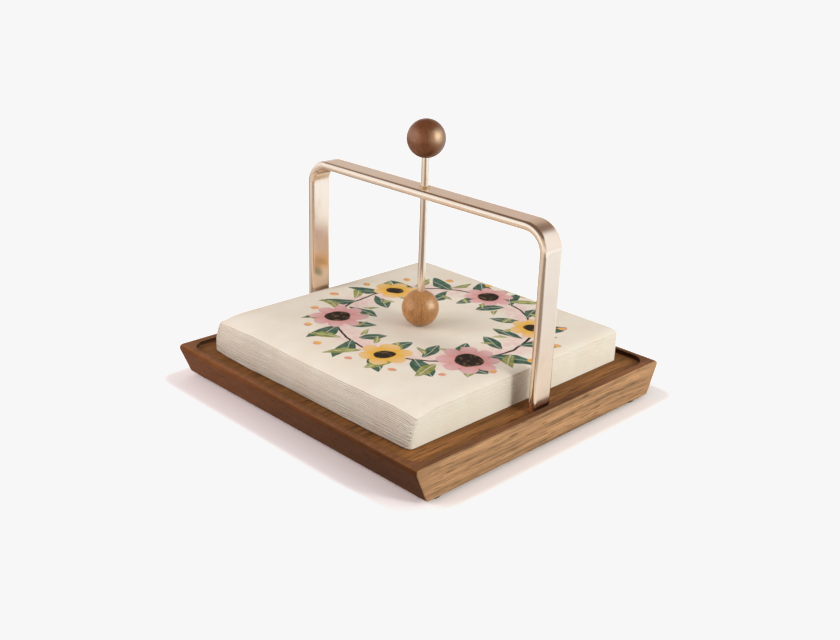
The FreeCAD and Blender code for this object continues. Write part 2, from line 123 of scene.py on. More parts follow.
class NapkinStack(bpy.types.PropertyGroup):
    """The paper and the way it is folded."""
    sheet: length("Sheet", "Side of one napkin, unfolded", 0.330)
    ply: length("Ply", "Thickness of one layer of paper", 0.00021)
    bow: length("Bow", "How far the lowest open edges bulge along -Y", 0.0014)
    bulge: length("Bulge", "How much further they bulge at one place", 0.0012)
    fray: length("Fray", "How far single layers lie off each other at the open edges", 0.00032)
    droop: share("Droop", "How much thinner the stack is along its open edges", 0.14)
    corner: length("Corner", "Radius of the two worn corners at the open edge", 0.0025)
    paper: colour("Paper", "Cream of the tissue paper", (0.700, 0.612, 0.505))


class PrintDesign(bpy.types.PropertyGroup):
    """Inks of the printed flower ring."""
    rose: colour("Rose", "Petals of the larger flowers", (0.62, 0.27, 0.25))
    blush: colour("Blush", "Soft wash behind the ring", (0.70, 0.45, 0.43))
    gold: colour("Gold", "Petals of the smaller flowers and the berries", (0.72, 0.38, 0.045))
    brown: colour("Brown", "Hearts of the flowers", (0.028, 0.019, 0.013))
    teal: colour("Teal", "Outer leaves", (0.045, 0.085, 0.055))
    olive: colour("Olive", "Inner leaves", (0.205, 0.205, 0.060))
    ring: length("Ring", "Radius of the flower ring", 0.057)


class StudioSetup(bpy.types.PropertyGroup):
    """Floor, lights and camera."""
    floor: colour("Floor", "Pale paper floor", (0.92, 0.875, 0.865))
    shade: colour("Shade", "Warm glow that keeps shadows on the floor pale", (0.050, 0.013, 0.005))
    sky: brightness("Sky", "Brightness of the white surroundings", 0.62)
    key: brightness("Key light", "Power of the soft box on the right, in watts", 6.0)
    core: brightness("Core light", "Power of the small box for clear shadows, in watts", 4.7)
    fill: brightness("Fill light", "Power of the wide soft box on the left, in watts", 13.6)
    sheen: brightness("Sheen", "Power of the lights that the balls mirror, in watts", 92.0)
    white: share("White", "Brightness held as plain white", 0.93)
    around: angle("Around", "Direction of the camera round the holder", 44.62)
    above: angle("Above", "Height of the camera as an angle", 21.737)
    roll: angle("Roll", "Tilt of the camera about its own axis", 2.047)
    lens: FloatProperty(name="Lens", description="Focal length on a 36 mm wide sensor",
                        default=46.64, unit="CAMERA")
    place: FloatVectorProperty(name="Camera place", description="Where the camera stands", size=3,
                               default=(0.413907, -0.419361, 0.277326), precision=4,
                               unit="LENGTH", subtype="TRANSLATION")


# ---- node building

# The mixing node's sockets for each kind of value: the inputs, and the output
MIX_SOCKETS = {"RGBA": ((0, 6, 7), 2), "VECTOR": ((0, 4, 5), 1)}


class Graph:
    """Short forms for adding nodes to one node tree."""

    def __init__(self, tree):
        self.tree = tree

    def add(self, kind, **settings):
        node = self.tree.nodes.new(kind)
        for name, setting in settings.items():
            setattr(node, name, setting)
        return node

    def find(self, kind):
        return next(node for node in self.tree.nodes if node.type == kind)

    def put(self, socket, source):
        """Feeds a socket from another socket or with a constant."""
        if isinstance(source, bpy.types.NodeSocket):
            self.tree.links.new(source, socket)
        elif socket.type == "RGBA" and len(source) == 3:
            socket.default_value = (*source, 1.0)
        else:
            socket.default_value = source

    def feed(self, node, *sources):
        """Feeds a node's inputs in their order; returns its outputs."""
        for socket, source in zip(node.inputs, sources):
            self.put(socket, source)
        return node.outputs

    def fill(self, node, **sources):
        """Feeds a node's named inputs, with _ standing for a space; returns its outputs."""
        for name, source in sources.items():
            self.put(node.inputs[name.replace("_", " ")], source)
        return node.outputs

    def math(self, operation, *sources, clamp=False):
        node = self.add("ShaderNodeMath", operation=operation, use_clamp=clamp)
        return self.feed(node, *sources)[0]

    def times(self, product, *others):
        for other in others:
            product = self.math("MULTIPLY", product, other)
        return product

    def plus(self, total, *others):
        for other in others:
            total = self.math("ADD", total, other)
        return total

    def minus(self, first, second):
        return self.math("SUBTRACT", first, second)

    def absolute(self, source):
        return self.math("ABSOLUTE", source)

    def weigh(self, *parts):
        """Adds up sources, each times its weight."""
        return self.plus(*[self.times(source, weight) for source, weight in parts])

    def hypotenuse(self, x, y):
        return self.math("SQRT", self.plus(self.times(x, x), self.times(y, y)))

    def vector(self, operation, *sources):
        outputs = self.feed(self.add("ShaderNodeVectorMath", operation=operation), *sources)
        return outputs["Value" if operation in ("LENGTH", "DOT_PRODUCT") else "Vector"]

    def mix(self, factor, first, second, blend="MIX", kind="RGBA"):
        """Mixes two colours or, with the kind VECTOR, two vectors."""
        node = self.add("ShaderNodeMix", data_type=kind, blend_type=blend)
        inputs, output = MIX_SOCKETS[kind]
        for number, source in zip(inputs, (factor, first, second)):
            self.put(node.inputs[number], source)
        return node.outputs[output]

    def span(self, source, low, high, to_low=0.0, to_high=1.0):
        """Maps low..high smoothly onto to_low..to_high."""
        node = self.add("ShaderNodeMapRange", interpolation_type="SMOOTHSTEP")
        return self.feed(node, source, low, high, to_low, to_high)[0]

    def tones(self, source, start, *steps):
        """Runs through tones along a source: a step is where it starts and ends, and its tone."""
        tone = start
        for low, high, following in steps:
            tone = self.mix(self.span(source, low, high), tone, following)
        return tone

    def noise(self, vector, scale, detail=2.0, roughness=0.5, distortion=0.0):
        return self.fill(self.add("ShaderNodeTexNoise"), Vector=vector, Scale=scale, Detail=detail,
                         Roughness=roughness, Distortion=distortion)["Fac"]

    def separate(self, vector):
        return self.feed(self.add("ShaderNodeSeparateXYZ"), vector)

    def combine(self, *sources):
        return self.feed(self.add("ShaderNodeCombineXYZ"), *sources)[0]

    def group(self, tree, **values):
        """Places a node group and feeds its inputs."""
        return self.fill(self.add("ShaderNodeGroup", node_tree=tree), **values)

    def bump(self, height, distance, strength):
        return self.fill(self.add("ShaderNodeBump"), Height=height, Distance=distance,
                         Strength=strength)[0]


SOCKETS = {"value": "NodeSocketFloat", "vector": "NodeSocketVector", "colour": "NodeSocketColor"}


def new_group(name, inputs, outputs):
    """An empty node group; returns its graph, its inputs' sockets and its output node."""
    tree = bpy.data.node_groups.new(name, "ShaderNodeTree")
    for side, sockets in (("INPUT", inputs), ("OUTPUT", outputs)):
        for label, kind in sockets.items():
            tree.interface.new_socket(name=label, in_out=side, socket_type=SOCKETS[kind])
    graph = Graph(tree)
    return graph, graph.add("NodeGroupInput").outputs, graph.add("NodeGroupOutput")


def built_once(build):
    """Builds a node group, named after its function, the first time it is asked for."""
    def group():
        return bpy.data.node_groups.get(build.__name__) or build(build.__name__)
    return group


# Wood: the marks of the grain are squeezed along Y, so they are this much longer than wide
BAND_SQUEEZE = (1.0, 0.09, 1.0)
FIBRE_SQUEEZE = (1.0, 0.03, 1.0)
PORE_SQUEEZE = (1.0, 0.06, 1.0)
EARLY_WOOD = (1.32, 1.26, 1.18)  # the pale wood, as a share of the wood's own colour
LATE_WOOD = (0.02, 0.008, 0.004)  # the colour that the dark wood tends to
PORE_STAIN = (0.020, 0.009, 0.005)  # stain caught in the open pores
PORE_DEPTH = 0.46  # how fully it covers them


@built_once
def wood_grain(name):
    """Growth bands, fibres and open pores of a hardwood whose grain runs along Y."""
    graph, inside, out = new_group(
        name,
        {"Vector": "vector", "Wood": "colour", "Dark Share": "value", "Band Scale": "value",
         "Pore Scale": "value"},
        {"Color": "colour", "Pores": "value", "Height": "value"})
    band_scale, pore_scale = inside["Band Scale"], inside["Pore Scale"]
    along = graph.vector("MULTIPLY", inside["Vector"], BAND_SQUEEZE)
    drift = graph.noise(along, graph.times(band_scale, 0.28), detail=1.0)
    rings = graph.math("PINGPONG", graph.times(drift, 9.0), 0.5)
    bands = graph.span(rings, 0.05, 0.5)
    patches = graph.noise(along, graph.times(band_scale, 0.6), detail=3.0, roughness=0.6)
    fibres = graph.noise(graph.vector("MULTIPLY", inside["Vector"], FIBRE_SQUEEZE),
                         graph.times(pore_scale, 0.5), detail=4.0, roughness=0.65)
    pores = graph.noise(graph.vector("MULTIPLY", inside["Vector"], PORE_SQUEEZE), pore_scale)
    pores = graph.span(pores, 0.57, 0.67)
    shade = graph.span(graph.weigh((bands, 0.12), (patches, 0.50), (fibres, 1.10)), 0.60, 1.16)
    dark = graph.mix(inside["Dark Share"], inside["Wood"], LATE_WOOD)
    pale = graph.mix(1.0, inside["Wood"], EARLY_WOOD, "MULTIPLY")
    body = graph.mix(shade, pale, dark)
    graph.fill(out, Color=graph.mix(graph.times(pores, PORE_DEPTH), body, PORE_STAIN),
               Pores=pores, Height=graph.minus(graph.times(fibres, 0.35), pores))
    return graph.tree


@built_once
def handling_marks(name):
    """Faint smears and hairlines on handled metal."""
    graph, inside, out = new_group(
        name,
        {"Vector": "vector", "Smear Scale": "value", "Polished": "value", "Dull": "value"},
        {"Roughness": "value", "Height": "value", "Tarnish": "value"})
    smear = graph.noise(inside["Vector"], inside["Smear Scale"], detail=4.0, roughness=0.6,
                        distortion=0.4)
    fine = graph.noise(inside["Vector"], graph.times(inside["Smear Scale"], 30.0))
    amount = graph.span(graph.weigh((smear, 0.8), (fine, 0.2)), 0.3, 0.75)
    spread = graph.minus(inside["Dull"], inside["Polished"])
    graph.fill(out, Roughness=graph.math("MULTIPLY_ADD", amount, spread, inside["Polished"]),
               Height=fine, Tarnish=graph.span(smear, 0.5, 0.8))
    return graph.tree


@built_once
def paper_fibre(name):
    """Soft clouding and short fibres of tissue paper."""
    warm_tint, cool_tint = (0.80, 0.62, 0.48), (0.95, 0.95, 0.90)
    graph, inside, out = new_group(name, {"Vector": "vector", "Paper": "colour"},
                                   {"Color": "colour", "Height": "value"})
    cloud = graph.noise(inside["Vector"], 60.0, detail=3.0, roughness=0.55)
    fibre = graph.noise(inside["Vector"], 1800.0, detail=3.0, roughness=0.6, distortion=0.6)
    emboss = graph.noise(inside["Vector"], 520.0, detail=1.0, roughness=0.4)
    warm = graph.mix(0.16, inside["Paper"], warm_tint)
    cool = graph.mix(0.12, inside["Paper"], cool_tint)
    graph.fill(out, Color=graph.mix(graph.span(cloud, 0.3, 0.7), warm, cool),
               Height=graph.math("MULTIPLY_ADD", fibre, 0.5, emboss))
    return graph.tree


@built_once
def leaf_ring(name):
    """Leaves set evenly round a ring, each leaning a little; gives their shape and veins."""
    soft_edge, vein_core, vein_edge = 0.3 * MM, 0.15 * MM, 0.4 * MM
    graph, inside, out = new_group(
        name,
        {"Vector": "vector", "Radius": "value", "Count": "value", "Length": "value",
         "Width": "value", "Lean": "value", "Turn": "value"},
        {"Leaf": "value", "Vein": "value"})
    x, y, _ = graph.separate(inside["Vector"])
    reach = graph.hypotenuse(x, y)
    around = graph.plus(graph.math("ARCTAN2", y, x), inside["Turn"])
    steps = graph.times(graph.math("DIVIDE", around, math.tau), inside["Count"])
    number = graph.math("FLOOR", steps)
    part = graph.math("DIVIDE", math.tau, inside["Count"])
    local = graph.times(graph.minus(graph.minus(steps, number), 0.5), part)
    out_by = graph.minus(graph.times(reach, graph.math("COSINE", local)), inside["Radius"])
    across = graph.times(reach, graph.math("SINE", local))
    chance = graph.add("ShaderNodeTexWhiteNoise", noise_dimensions="1D")
    chance = graph.fill(chance, W=number)["Value"]
    vary = graph.math("MULTIPLY_ADD", chance, 0.5, 0.75)
    lean = graph.times(inside["Lean"], vary)
    cosine, sine = graph.math("COSINE", lean), graph.math("SINE", lean)
    stalk = graph.plus(graph.times(out_by, cosine), graph.times(across, sine))
    side = graph.minus(graph.times(across, cosine), graph.times(out_by, sine))
    along = graph.math("DIVIDE", stalk, graph.times(inside["Length"], vary), clamp=True)
    belly = graph.math("POWER", graph.math("SINE", graph.times(along, math.pi)), 0.8)
    half = graph.times(belly, inside["Width"], 0.5)
    off_vein = graph.absolute(side)
    leaf = graph.span(graph.minus(half, off_vein), 0.0, soft_edge)
    graph.fill(out, Leaf=leaf,
               Vein=graph.times(leaf, graph.span(off_vein, vein_core, vein_edge, 1.0, 0.0)))
    return graph.tree


@built_once
def printed_flower(name):
    """One round flower seen from above; gives its petals, their shading and its heart."""
    soft_edge = 0.04
    graph, inside, out = new_group(
        name, {"Vector": "vector", "Centre": "vector", "Size": "value", "Petals": "value",
               "Heart": "value"},
        {"Petals": "value", "Shade": "value", "Heart": "value"})
    x, y, _ = graph.separate(graph.vector("SUBTRACT", inside["Vector"], inside["Centre"]))
    reach = graph.math("DIVIDE", graph.hypotenuse(x, y), inside["Size"])
    around = graph.times(graph.math("ARCTAN2", y, x), graph.times(inside["Petals"], 0.5))
    lobe = graph.math("POWER", graph.absolute(graph.math("COSINE", around)), 0.55)
    edge = graph.math("MULTIPLY_ADD", lobe, 0.38, 0.62)
    graph.fill(out, Petals=graph.span(graph.minus(edge, reach), 0.0, soft_edge),
               Shade=graph.times(lobe, graph.span(reach, 0.2, 1.0)),
               Heart=graph.span(graph.minus(inside["Heart"], reach), 0.0, soft_edge))
    return graph.tree


def new_material(name):
    """A material with one Principled shader; returns the material, its graph and the shader."""
    material = bpy.data.materials.new(name)
    material.use_nodes = True
    graph = Graph(material.node_tree)
    return material, graph, graph.find("BSDF_PRINCIPLED")


def place_of(graph):
    """The point on the piece, in metres in the piece's own frame."""
    return graph.add("ShaderNodeTexCoord").outputs["Object"]


def facing(graph):
    """How far the surface faces X, Y and Z, each from 0 to 1."""
    normal = graph.add("ShaderNodeTexCoord").outputs["Normal"]
    return graph.separate(graph.vector("ABSOLUTE", normal))


def tinted(wood, strength):
    """A colour made stronger or weaker."""
    return tuple(strength * channel for channel in wood)


def new_piece(name, shape):
    """A new object in the scene."""
    piece = bpy.data.objects.new(name, shape)
    bpy.context.scene.collection.objects.link(piece)
    return piece


def grid_piece(name, points, across):
    """A surface through a grid of points, with so many across in each row."""
    mesh = bpy.data.meshes.new(name)
    mesh.from_pydata(points, [], [
        (corner, corner + across, corner + across + 1, corner + 1)
        for corner in range(len(points) - across) if (corner + 1) % across])
    return new_piece(name, mesh)


def finish(material, *pieces):
    """Gives pieces one material all over; a piece of the frame goes by its name."""
    for piece in pieces:
        mesh = (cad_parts[piece] if isinstance(piece, str) else piece).data
        mesh.materials.clear()
        mesh.materials.append(material)


# ---- tray and feet

FLOOR_PAINTED_LIGHT = 1.35  # painted light: how much paler the recess floor is along its +X edge
END_PAINTED_LIGHT = (1.60, 0.90)  # painted light on the end grain: its colour times these at -X and at +X
RIM_END_PAINTED_LIGHT = ((1.10, 1.05, 1.00), (0.84, 0.82, 0.80))  # painted highlight near the ends of the rim: the wood times these at -X and at +X
RECESS_WALL_SHADE = (0.040, 0.013, 0.007)  # painted shade on the wall of the recess


def tray_wood(settings):
    """Stained hardwood: grain along Y, upright sides paler partly as painted light, dark end grain,
    painted light on the floor.
    """
    material, graph, shader = new_material("tray_wood")
    point = place_of(graph)
    faces_x, faces_y, faces_z = facing(graph)
    half_long, rim_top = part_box("tray")[1].y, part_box("tray")[1].z
    recess_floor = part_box("napkin_01")[0].z
    x, y, z = graph.separate(point)

    in_recess = graph.span(z, rim_top - 0.6 * MM, rim_top - 0.2 * MM, 1.0, 0.0)
    # Painted light: the recess floor turns paler along its +X edge.
    floor_with_painted_light = graph.mix(graph.span(x, 80 * MM, 90 * MM), settings.floor,
                      tinted(settings.floor, FLOOR_PAINTED_LIGHT))
    wood = graph.mix(graph.times(in_recess, graph.span(faces_z, 0.5, 0.9)),
                     settings.top, floor_with_painted_light)
    # The upright sides take a much paler copy of the wood, partly painted light, and the early
    # start of the span paints a highlight on the rounded arris above them.
    wood = graph.mix(graph.span(faces_x, 0.22, 0.62), wood, settings.side)
    # Painted light: the end grain is lighter towards -X and darker towards +X.
    end_grain_and_painted_light = graph.mix(graph.span(x, -90 * MM, 90 * MM),
                          *(tinted(settings.end, fade) for fade in END_PAINTED_LIGHT))
    wood = graph.mix(graph.span(faces_y, 0.45, 0.85), wood, end_grain_and_painted_light)

    # The grain's marks run along Y, and lie crossways on the sloping ends
    crossways = graph.combine(graph.times(z, 0.8), graph.times(x, 2.5), y)
    grained = graph.mix(graph.math("GREATER_THAN", faces_y, 0.6), point, crossways,
                        kind="VECTOR")

    # Painted shade darkens the upright wall of the recess.
    reach = graph.math("MAXIMUM", graph.absolute(x), graph.absolute(y))
    wall_shade = graph.times(graph.span(reach, half_long - 4.0 * MM, half_long - 3.2 * MM, 1.0, 0.0),
                       graph.span(z, recess_floor - 0.5 * MM, recess_floor - 0.2 * MM),
                       graph.span(faces_z, 0.60, 0.90, 0.75, 0.0))
    wood = graph.mix(wall_shade, wood, RECESS_WALL_SHADE)
    grain = graph.group(wood_grain(), Vector=grained, Wood=wood,
                        Dark_Share=settings.dark, Band_Scale=1.0 / settings.band,
                        Pore_Scale=1.0 / settings.pore)

    # Stain fills the cut fibres along the two ends; a painted highlight makes them lighter towards
    # -X
    near_end = graph.span(graph.absolute(y), half_long - 13 * MM, half_long - 6 * MM, 0.0, 0.6)
    filled_with_painted_light = graph.mix(1.0, wood, graph.mix(graph.span(x, -50 * MM, -10 * MM), *RIM_END_PAINTED_LIGHT), "MULTIPLY")
    graph.fill(shader, Base_Color=graph.mix(near_end, grain["Color"], filled_with_painted_light),
               Roughness=graph.math("MULTIPLY_ADD", grain["Pores"], 0.25, settings.gloss),
               Normal=graph.bump(grain["Height"], 0.06 * MM, 0.5), Specular_IOR_Level=0.03)
    return material


def foot_rubber():
    """Matt black rubber with a fine moulded grain."""
    black, grey = (0.018, 0.018, 0.018), (0.040, 0.039, 0.038)
    material, graph, shader = new_material("foot_rubber")
    grain = graph.noise(place_of(graph), 2500.0, detail=3.0, roughness=0.6)
    graph.fill(shader, Base_Color=graph.mix(grain, black, grey),
               Roughness=graph.math("MULTIPLY_ADD", grain, 0.25, 0.6),
               Normal=graph.bump(grain, 0.05 * MM, 0.4))
    return material


# ---- metal

TARNISH = (0.93, 0.90, 0.86)  # tarnished plating, as a share of the clean colour


def plated_metal(name, metal, polished, dull, smear, marks=0.01 * MM):
    """Plated metal with faint handling marks: smear is how close together they lie, and marks
    how deep they are."""
    material, graph, shader = new_material(name)
    worn = graph.group(handling_marks(), Vector=place_of(graph), Smear_Scale=smear,
                       Polished=polished, Dull=dull)
    tarnished = tuple(clean * left for clean, left in zip(metal, TARNISH))
    graph.fill(shader, Base_Color=graph.mix(worn["Tarnish"], metal, tarnished),
               Roughness=worn["Roughness"], Normal=graph.bump(worn["Height"], marks, 0.3),
               Metallic=1.0)
    return material


# ---- balls

BALL_PORE_SCALE = 2200.0  # finer pores than the tray's


def ball_wood(name, wood, dark, shine, tint, settings):
    """Turned and lacquered wood, its grain running up the ball."""
    material, graph, shader = new_material(name)
    x, y, z = graph.separate(place_of(graph))
    grain = graph.group(wood_grain(), Vector=graph.combine(x, z, y), Wood=wood,
                        Dark_Share=dark, Band_Scale=1.0 / settings.band,
                        Pore_Scale=BALL_PORE_SCALE)
    graph.fill(shader, Base_Color=grain["Color"],
               Roughness=graph.math("MULTIPLY_ADD", grain["Pores"], 0.15, settings.gloss),
               Normal=graph.bump(grain["Height"], 0.03 * MM, 0.4),
               Specular_IOR_Level=shine, Specular_Tint=tint)
    return material


# ---- napkins

RING_OFFSET = (5 * MM, 8 * MM)  # the print's middle from the middle of the napkin
WOBBLE = 7 * MM  # how far the hand-drawn lines wander
# Rings of leaves: ink, share of the flower ring's radius, count, length, width, lean, turn
LEAF_RINGS = (
    ("teal", 0.98, 16, 31 * MM, 12.5 * MM, 0.75, 0.0),
    ("olive", 1.05, 17, 28 * MM, 7.0 * MM, -0.85, 0.2),
    ("teal", 0.60, 14, 24 * MM, 9.0 * MM, -0.6, 0.5),
    ("olive", 0.68, 20, 16 * MM, 4.0 * MM, 0.9, 0.9),
)
BERRIES = {"Count": 17, "Length": 5.5 * MM, "Width": 5.2 * MM, "Lean": 0.0, "Turn": 0.55}
# Flowers: place round the ring, radius and ink; for each ink the petals and share of the heart
FLOWERS = ((-0.45, 18.0 * MM, "rose"), (0.70, 14.5 * MM, "gold"), (1.70, 16.0 * MM, "rose"),
           (2.80, 14.5 * MM, "gold"), (3.85, 18.0 * MM, "rose"), (5.0, 15.0 * MM, "gold"))
FLOWER_KINDS = {"rose": (8, 0.46), "gold": (6, 0.38)}
HEART_SPECKS = (0.16, 0.10, 0.05)


def flower_print(graph, point, paper, inks):
    """A ring of leaves, flowers and berries printed on the paper; returns the colour."""
    low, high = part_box("napkin_top")
    middle = Vector(((low.x + high.x) / 2 + RING_OFFSET[0], (low.y + high.y) / 2 + RING_OFFSET[1],
                     0.0))
    jitter = graph.fill(graph.add("ShaderNodeTexNoise"), Vector=point, Scale=45.0)["Color"]
    shaken = graph.vector("MULTIPLY_ADD", jitter, (WOBBLE, WOBBLE, 0.0), point)
    local = graph.vector("SUBTRACT", shaken, middle + Vector((WOBBLE / 2, WOBBLE / 2, 0.0)))
    tint = graph.noise(point, 260.0, detail=4.0, roughness=0.6)
    x, y, _ = graph.separate(local)
    reach = graph.vector("LENGTH", graph.combine(x, y, 0.0))

    wash = graph.times(graph.span(reach, inks.ring * 0.72, inks.ring * 0.9),
                       graph.span(reach, inks.ring * 1.02, inks.ring * 1.25, 1.0, 0.0))
    ink = graph.mix(graph.times(wash, graph.span(tint, 0.35, 0.65, 0.2, 0.85)),
                    paper, inks.blush)
    off_ring = graph.absolute(graph.minus(reach, inks.ring))
    vine = graph.span(off_ring, 0.5 * MM, 1.0 * MM, 1.0, 0.0)
    ink = graph.mix(vine, ink, inks.brown)
    for ink_name, radius, count, leaf_length, width, lean, turn in LEAF_RINGS:
        leaves = graph.group(leaf_ring(), Vector=local, Radius=inks.ring * radius, Count=count,
                             Length=leaf_length, Width=width, Lean=lean, Turn=turn)
        leaf_ink = getattr(inks, ink_name)
        pale = tuple(min(1.0, 1.9 * channel + 0.03) for channel in leaf_ink)
        shade = graph.mix(graph.span(tint, 0.35, 0.7, 0.0, 0.75), leaf_ink, pale)
        ink = graph.mix(leaves["Leaf"], ink, shade)
        ink = graph.mix(graph.times(leaves["Vein"], 0.6), ink, paper)
    berries = graph.group(leaf_ring(), Vector=local, Radius=inks.ring * 1.26, **BERRIES)
    berry_ink = graph.mix(graph.span(tint, 0.4, 0.6), inks.gold, inks.rose)
    ink = graph.mix(berries["Leaf"], ink, berry_ink)
    for turn, size, ink_name in FLOWERS:
        petals, heart = FLOWER_KINDS[ink_name]
        centre = (inks.ring * math.cos(turn), inks.ring * math.sin(turn), 0.0)
        flower = graph.group(printed_flower(), Vector=local, Centre=centre, Size=size,
                             Petals=petals, Heart=heart)
        petal_ink = getattr(inks, ink_name)
        pale = tuple(0.62 * channel + 0.26 for channel in petal_ink)
        petal = graph.mix(graph.times(flower["Shade"], 0.75), petal_ink, pale)
        ink = graph.mix(flower["Petals"], ink, petal)
        specked = graph.mix(graph.span(tint, 0.5, 0.7), inks.brown, HEART_SPECKS)
        ink = graph.mix(flower["Heart"], ink, specked)
    return ink


def napkin_paper(name, stack, inks):
    """Cream tissue paper with the print on its upper face, clear of the two folds."""
    clear = 1.5 * MM
    material, graph, shader = new_material(name)
    point = place_of(graph)
    paper = graph.group(paper_fibre(), Vector=point, Paper=stack.paper)
    ink = flower_print(graph, point, paper["Color"], inks)
    up = graph.separate(graph.add("ShaderNodeNewGeometry").outputs["True Normal"])[2]
    x, y, _ = graph.separate(point)
    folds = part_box("napkin_01")[1]
    shown = graph.times(graph.math("GREATER_THAN", up, 0.93),
                        graph.math("LESS_THAN", y, folds.y - clear),
                        graph.math("LESS_THAN", x, folds.x - clear))
    graph.fill(shader, Base_Color=graph.mix(shown, paper["Color"], ink), Roughness=0.85,
               Normal=graph.bump(paper["Height"], 0.05 * MM, 0.35), Specular_IOR_Level=0.12)
    return material


RUN_STEPS = 24  # divisions of a flat run of paper
FOLD_STEPS = 6  # divisions of the last fold, round the +X edge
INNER_FOLD_STEPS = 4  # divisions of the first fold, along the +Y edge
NEIGHBOURS = 3  # napkins above and below whose edges even out a napkin's own
PROUD = 0.6 * MM  # how far that may bring an edge outside the napkin's box
# In millimetres along X: half the length of the open edges, and where and how widely they bulge
EDGE_HALF, BULGE_AT, BULGE_WIDTH = 85, -53, 25
FOLD_PRESS = 0.12  # how nearly square the last fold is pressed: 1 is round
# Along each edge: how far in the stack droops, how steeply, and its share of the full droop
DROOPS = {"open": (20 * MM, 2.2, 1.0), "left": (14 * MM, 2, 0.8), "fold": (6 * MM, 2, 0.5)}
MOST_DROOP = 1.4
# Likewise how high the lowest napkins lift off the tray, and how far in
LIFTS = {"open": (0.5 * MM, 6 * MM), "left": (0.5 * MM, 6 * MM), "fold": (0.4 * MM, 4 * MM)}


def run_places(start, stop):
    """Places along a flat run, closer together towards both ends."""
    places = []
    for step in range(RUN_STEPS + 1):
        even = step / RUN_STEPS
        eased = even - math.sin(math.tau * even) / math.tau * 0.75
        places.append(start + (stop - start) * eased)
    return places


def settled_box(node, number):
    """The node's box with its open and rear edges evened out between its neighbours, which may
    bring them a little outside the box."""
    low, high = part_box(node)
    near = [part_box(f"napkin_{other + 1:02d}")
            for other in range(max(0, number - NEIGHBOURS),
                               min(NAPKIN_COUNT - 1, number + NEIGHBOURS + 1))]
    low.x = max(low.x - PROUD, sum(box[0].x for box in near) / len(near))
    low.y = max(low.y - PROUD, sum(box[0].y for box in near) / len(near))
    high.y = min(high.y + PROUD, sum(box[1].y for box in near) / len(near))
    return low, high


def squashed(cosine, sine):
    """A half turn pressed towards a square, so that neighbouring folds close up."""
    return math.copysign(abs(cosine) ** FOLD_PRESS, cosine), abs(sine) ** FOLD_PRESS


def close_to(distance, reach):
    """1 at an edge, falling to 0 as far in as reach."""
    return max(0.0, 1 - distance / reach)


def unevenness(x, y):
    """How unevenly the open edge droops along its length, in long waves and short ones."""
    return (1 + 0.2 * math.sin(x * 71 + 1.3) * math.sin(y * 53 + 0.4)
            + 0.10 * math.sin(x * 190 + 2.1) * math.sin(x * 83))


